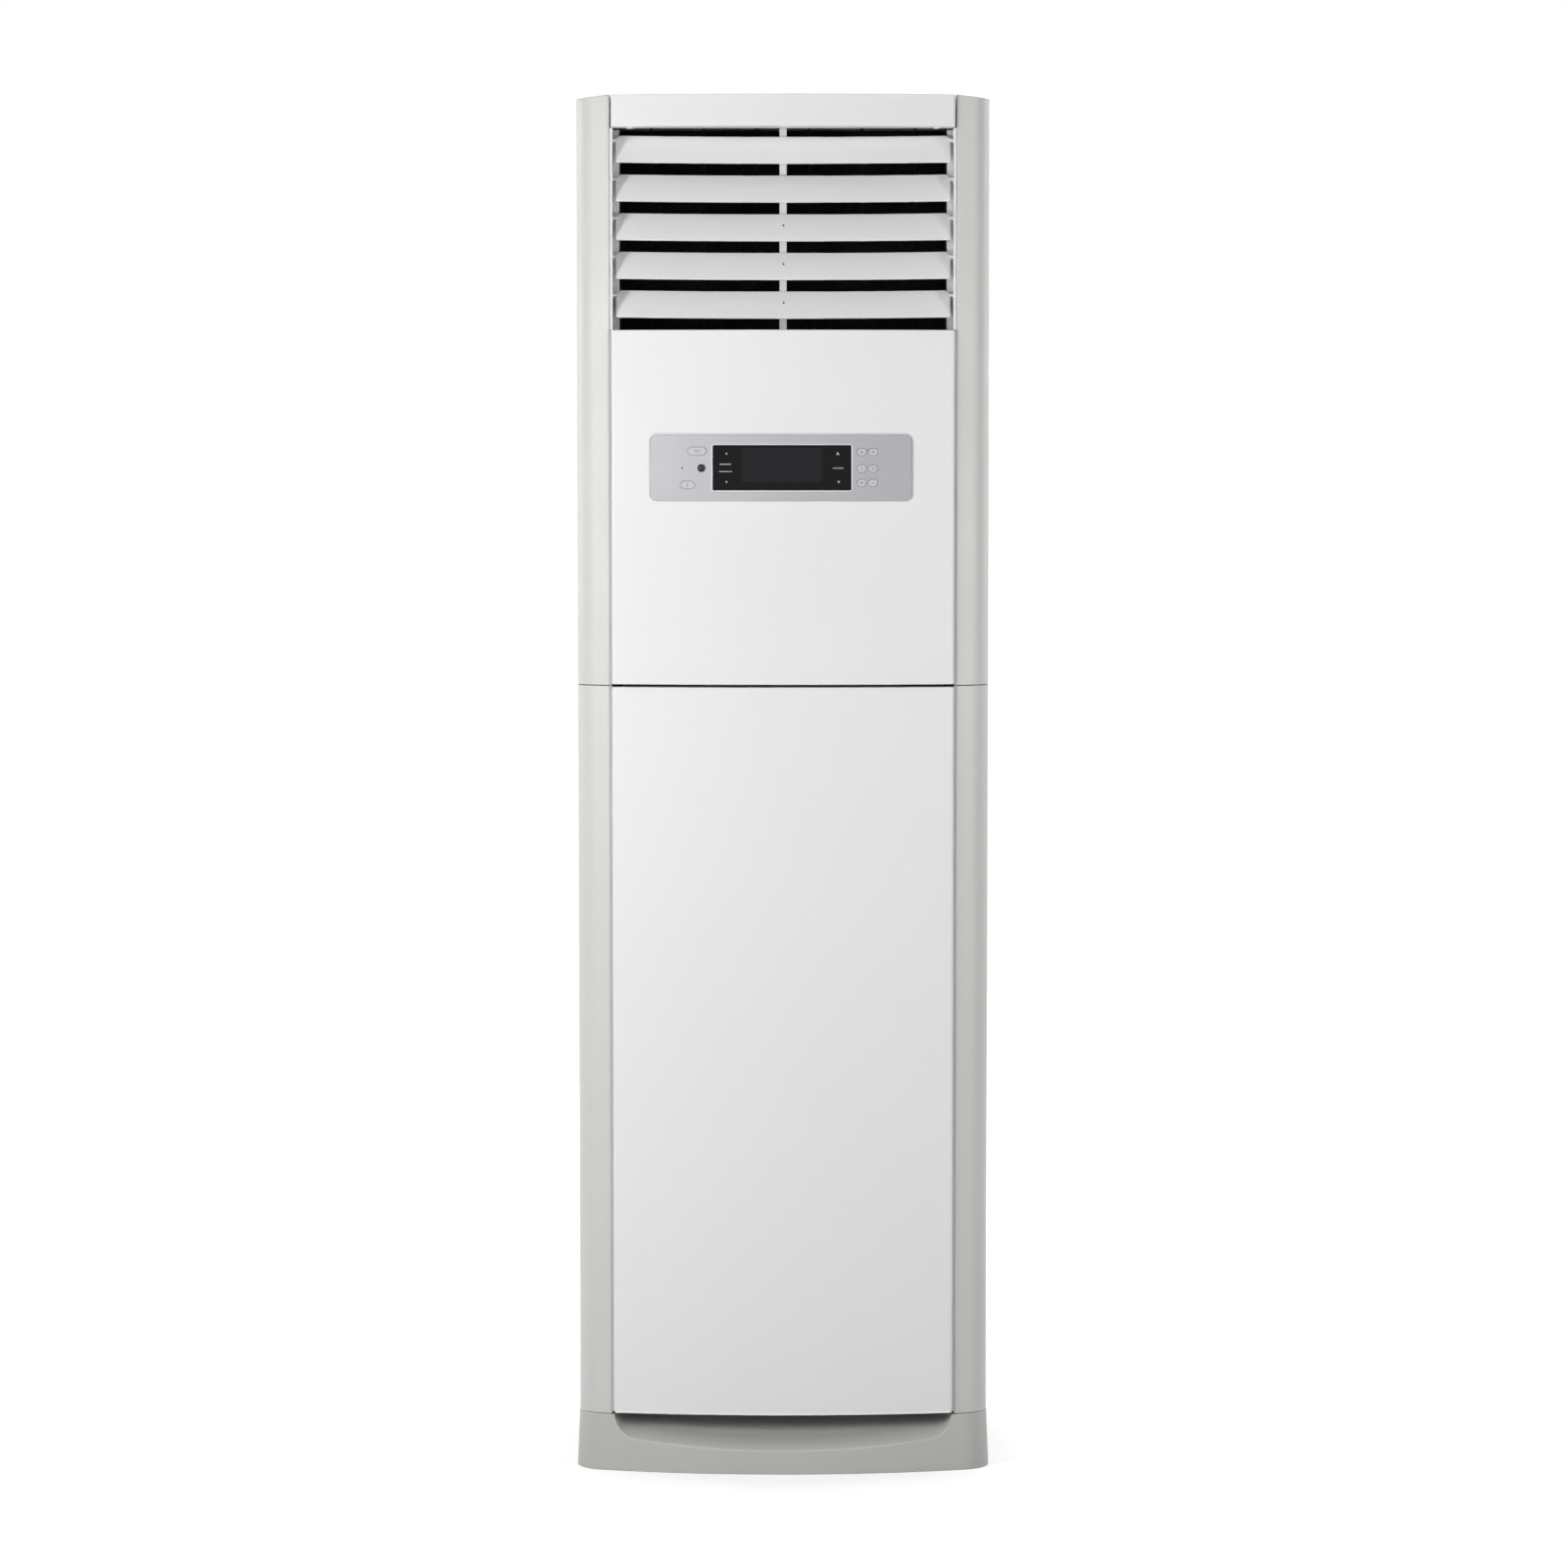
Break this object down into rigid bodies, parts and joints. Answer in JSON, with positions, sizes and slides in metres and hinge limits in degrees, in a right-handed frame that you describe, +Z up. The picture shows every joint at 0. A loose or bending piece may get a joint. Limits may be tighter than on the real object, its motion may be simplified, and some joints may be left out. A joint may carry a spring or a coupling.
{
  "type": "floor standing air conditioner",
  "caption": "Tall column air conditioner with bowed front panels, ganged outlet louvres, swinging vanes, key display, side intakes, scroll fan and coil.",
  "frame": {"origin": "on the floor, under the middle of the bounding box", "axes": "+Z up, front face towards -Y, +X to the right seen from the front"},
  "size_m": [0.552, 0.41, 1.824],
  "materials": {
    "white_panel": "satin moulded white",
    "white_column": "satin moulded white",
    "plinth_plastic": "satin moulded white grey",
    "louvre_plastic": "satin moulded white",
    "cabinet_paint": "powder coated off-white steel sheet",
    "galvanised": "galvanised sheet",
    "silver_plastic": "silver lacquered plastic",
    "black_window": "polished black acrylic",
    "key_plastic": "silver grey moulded keys",
    "black_plastic": "black moulded",
    "circuit_board": "lacquered board",
    "foam": "expanded foam",
    "fin_stock": "bare fin stock",
    "copper": "bare copper tube",
    "grey_plastic": "grey moulded",
    "motor_steel": "dark enamelled can",
    "shaft_steel": "ground steel",
    "zinc": "zinc plated",
    "filter_net": "fine dark net in a moulded border",
    "soft_rubber": "black rubber"
  },
  "bodies": {
    "cabinet": {"base_pan": "galvanised", "base_plinth": "plinth_plastic", "blower_housing": "grey_plastic", "blower_motor": "motor_steel", "cable_gland": "black_plastic", "case_screws": "zinc", "coil_end_plates": "galvanised", "coil_fins": "fin_stock", "coil_tubes": "copper", "control_board": "circuit_board", "control_box": "galvanised", "control_box_cover": "galvanised", "display_bezel": "silver_plastic", "display_board": "circuit_board", "display_window": "black_window", "drain_pan": "foam", "inlet_ring": "grey_plastic", "left_pillar_lower": "white_column", "left_pillar_upper": "white_column", "left_side_panel": "cabinet_paint", "outlet_frame": "louvre_plastic", "partition_deck": "galvanised", "pipe_grommet": "soft_rubber", "rear_panel": "cabinet_paint", "right_pillar_lower": "white_column", "right_pillar_upper": "white_column", "right_side_panel": "cabinet_paint", "swing_motor": "black_plastic", "terminal_block": "black_plastic", "top_cover": "white_column", "top_front_strip": "white_panel", "upper_front_panel": "white_panel"},
    "lower_panel": {"lower_front_panel": "white_panel"},
    "left_grille": {"left_intake_grille": "white_column", "left_filter": "filter_net"},
    "right_grille": {"right_intake_grille": "white_column", "right_filter": "filter_net"},
    "louvre_1": {"louvre_1": "louvre_plastic"},
    "louvre_2": {"louvre_2": "louvre_plastic"},
    "louvre_3": {"louvre_3": "louvre_plastic"},
    "louvre_4": {"louvre_4": "louvre_plastic"},
    "louvre_5": {"louvre_5": "louvre_plastic"},
    "louvre_link": {"louvre_link": "louvre_plastic"},
    "vane_1": {"vane_1": "black_plastic"},
    "vane_2": {"vane_2": "black_plastic"},
    "vane_3": {"vane_3": "black_plastic"},
    "vane_4": {"vane_4": "black_plastic"},
    "vane_5": {"vane_5": "black_plastic"},
    "vane_6": {"vane_6": "black_plastic"},
    "vane_link": {"vane_link": "black_plastic"},
    "fan": {"blower_wheel": "grey_plastic", "motor_shaft": "shaft_steel"},
    "key_1": {"key_1": "key_plastic"},
    "key_2": {"key_2": "key_plastic"},
    "key_3": {"key_3": "key_plastic"},
    "key_4": {"key_4": "key_plastic"},
    "key_5": {"key_5": "key_plastic"},
    "key_6": {"key_6": "key_plastic"},
    "key_7": {"key_7": "key_plastic"},
    "key_8": {"key_8": "key_plastic"}
  },
  "joints": [
    {"name": "lower_panel_tilt", "type": "hinge", "parent": "cabinet", "child": "lower_panel", "pos_m": [0, -0.166, 1.04], "axis": [-1, 0, 0], "range_deg": [0, 5]},
    {"name": "left_grille_swing", "type": "hinge", "parent": "cabinet", "child": "left_grille", "pos_m": [-0.2625, 0.045, 0.641], "axis": [0, 1, 0], "range_deg": [0, 20]},
    {"name": "right_grille_swing", "type": "hinge", "parent": "cabinet", "child": "right_grille", "pos_m": [0.2625, 0.045, 0.641], "axis": [0, -1, 0], "range_deg": [0, 20]},
    {"name": "louvre_1_tilt", "type": "hinge", "parent": "cabinet", "child": "louvre_1", "pos_m": [0, -0.15, 1.7653], "axis": [-1, 0, 0], "range_deg": [-31, 24]},
    {"name": "louvre_2_tilt", "type": "hinge", "parent": "cabinet", "child": "louvre_2", "pos_m": [0, -0.15, 1.71465], "axis": [-1, 0, 0], "range_deg": [-31, 24]},
    {"name": "louvre_3_tilt", "type": "hinge", "parent": "cabinet", "child": "louvre_3", "pos_m": [0, -0.15, 1.664], "axis": [-1, 0, 0], "range_deg": [-31, 24]},
    {"name": "louvre_4_tilt", "type": "hinge", "parent": "cabinet", "child": "louvre_4", "pos_m": [0, -0.15, 1.61335], "axis": [-1, 0, 0], "range_deg": [-31, 24]},
    {"name": "louvre_5_tilt", "type": "hinge", "parent": "cabinet", "child": "louvre_5", "pos_m": [0, -0.15, 1.5627], "axis": [-1, 0, 0], "range_deg": [-31, 24]},
    {"name": "louvre_link_turn", "type": "hinge", "parent": "louvre_1", "child": "louvre_link", "pos_m": [0, -0.13457, 1.75603], "axis": [-1, 0, 0], "range_deg": [-24, 31]},
    {"name": "vane_1_swing", "type": "hinge", "parent": "cabinet", "child": "vane_1", "pos_m": [-0.175, -0.092, 1.6478], "axis": [0, 0, 1], "range_deg": [-35, 35]},
    {"name": "vane_2_swing", "type": "hinge", "parent": "cabinet", "child": "vane_2", "pos_m": [-0.105, -0.092, 1.6478], "axis": [0, 0, 1], "range_deg": [-35, 35]},
    {"name": "vane_3_swing", "type": "hinge", "parent": "cabinet", "child": "vane_3", "pos_m": [-0.035, -0.092, 1.6478], "axis": [0, 0, 1], "range_deg": [-35, 35]},
    {"name": "vane_4_swing", "type": "hinge", "parent": "cabinet", "child": "vane_4", "pos_m": [0.035, -0.092, 1.6478], "axis": [0, 0, 1], "range_deg": [-35, 35]},
    {"name": "vane_5_swing", "type": "hinge", "parent": "cabinet", "child": "vane_5", "pos_m": [0.105, -0.092, 1.6478], "axis": [0, 0, 1], "range_deg": [-35, 35]},
    {"name": "vane_6_swing", "type": "hinge", "parent": "cabinet", "child": "vane_6", "pos_m": [0.175, -0.092, 1.6478], "axis": [0, 0, 1], "range_deg": [-35, 35]},
    {"name": "vane_link_turn", "type": "hinge", "parent": "vane_1", "child": "vane_link", "pos_m": [-0.175, -0.07, 1.6478], "axis": [0, 0, 1], "range_deg": [-35, 35]},
    {"name": "fan_spin", "type": "hinge", "parent": "cabinet", "child": "fan", "pos_m": [0, -0.04803, 0.385], "axis": [0, 1, 0], "continuous": true},
    {"name": "key_1_press", "type": "slide", "parent": "cabinet", "child": "key_1", "axis": [0, 1, 0], "range_m": [0, 0.0008], "stiffness_N_per_m": 400, "springref_m": -0.0004},
    {"name": "key_2_press", "type": "slide", "parent": "cabinet", "child": "key_2", "axis": [0, 1, 0], "range_m": [0, 0.0008], "stiffness_N_per_m": 400, "springref_m": -0.0004},
    {"name": "key_3_press", "type": "slide", "parent": "cabinet", "child": "key_3", "axis": [0, 1, 0], "range_m": [0, 0.0008], "stiffness_N_per_m": 400, "springref_m": -0.0004},
    {"name": "key_4_press", "type": "slide", "parent": "cabinet", "child": "key_4", "axis": [0, 1, 0], "range_m": [0, 0.0008], "stiffness_N_per_m": 400, "springref_m": -0.0004},
    {"name": "key_5_press", "type": "slide", "parent": "cabinet", "child": "key_5", "axis": [0, 1, 0], "range_m": [0, 0.0008], "stiffness_N_per_m": 400, "springref_m": -0.0004},
    {"name": "key_6_press", "type": "slide", "parent": "cabinet", "child": "key_6", "axis": [0, 1, 0], "range_m": [0, 0.0008], "stiffness_N_per_m": 400, "springref_m": -0.0004},
    {"name": "key_7_press", "type": "slide", "parent": "cabinet", "child": "key_7", "axis": [0, 1, 0], "range_m": [0, 0.0008], "stiffness_N_per_m": 400, "springref_m": -0.0004},
    {"name": "key_8_press", "type": "slide", "parent": "cabinet", "child": "key_8", "axis": [0, 1, 0], "range_m": [0, 0.0008], "stiffness_N_per_m": 400, "springref_m": -0.0004}
  ],
  "couplings": [
    {"joint": "louvre_2_tilt", "follows": "louvre_1_tilt", "ratio": 1},
    {"joint": "louvre_3_tilt", "follows": "louvre_1_tilt", "ratio": 1},
    {"joint": "louvre_4_tilt", "follows": "louvre_1_tilt", "ratio": 1},
    {"joint": "louvre_5_tilt", "follows": "louvre_1_tilt", "ratio": 1},
    {"joint": "louvre_link_turn", "follows": "louvre_1_tilt", "ratio": -1},
    {"joint": "vane_2_swing", "follows": "vane_1_swing", "ratio": 1},
    {"joint": "vane_3_swing", "follows": "vane_1_swing", "ratio": 1},
    {"joint": "vane_4_swing", "follows": "vane_1_swing", "ratio": 1},
    {"joint": "vane_5_swing", "follows": "vane_1_swing", "ratio": 1},
    {"joint": "vane_6_swing", "follows": "vane_1_swing", "ratio": 1},
    {"joint": "vane_link_turn", "follows": "vane_1_swing", "ratio": -1}
  ]
}
